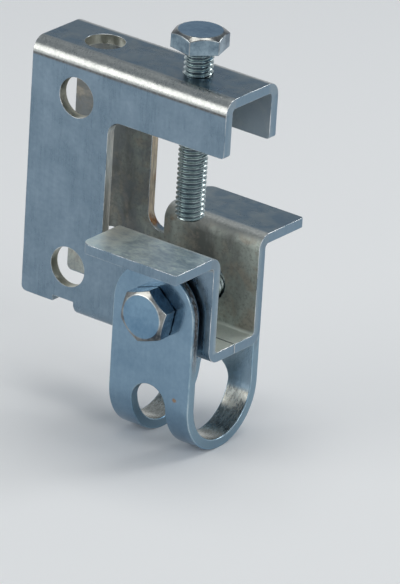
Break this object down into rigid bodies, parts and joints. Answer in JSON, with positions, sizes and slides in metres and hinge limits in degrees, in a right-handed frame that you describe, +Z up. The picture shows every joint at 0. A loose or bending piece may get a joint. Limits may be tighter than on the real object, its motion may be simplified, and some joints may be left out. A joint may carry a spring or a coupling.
{
  "type": "beam clamp",
  "caption": "Folded sheet-steel beam clamp with a set screw over its jaw and a slotted U strap swinging on a bolt below it for hanging a rod.",
  "frame": {"origin": "where the set screw's axis meets the plane of the beam seat, the top of the two seat flanges, in the middle between the side plates", "axes": "+X out of the jaw's open side, +Y from the pivot bolt's head to its nut, +Z up along the set screw to its head"},
  "size_m": [0.08, 0.069, 0.1437],
  "materials": {
    "clamp_sheet": "zinc plated, mottled",
    "strap_sheet": "zinc plated, glossy",
    "set_screw_steel": "bright zinc plated",
    "pivot_bolt_steel": "bright zinc plated",
    "pivot_nut_steel": "bright zinc plated"
  },
  "bodies": {
    "clamp": {"clamp_body": "clamp_sheet"},
    "screw": {"set_screw": "set_screw_steel"},
    "strap": {"swivel_strap": "strap_sheet", "pivot_bolt": "pivot_bolt_steel", "pivot_nut": "pivot_nut_steel"}
  },
  "joints": [
    {"name": "screw_travel", "type": "slide", "parent": "clamp", "child": "screw", "axis": [0, 0, 1], "range_m": [-0.0085, 0.0465]},
    {"name": "strap_swing", "type": "hinge", "parent": "clamp", "child": "strap", "pos_m": [0.0015, 0, -0.0235], "axis": [0, 1, 0], "range_deg": [-98, 50]}
  ]
}
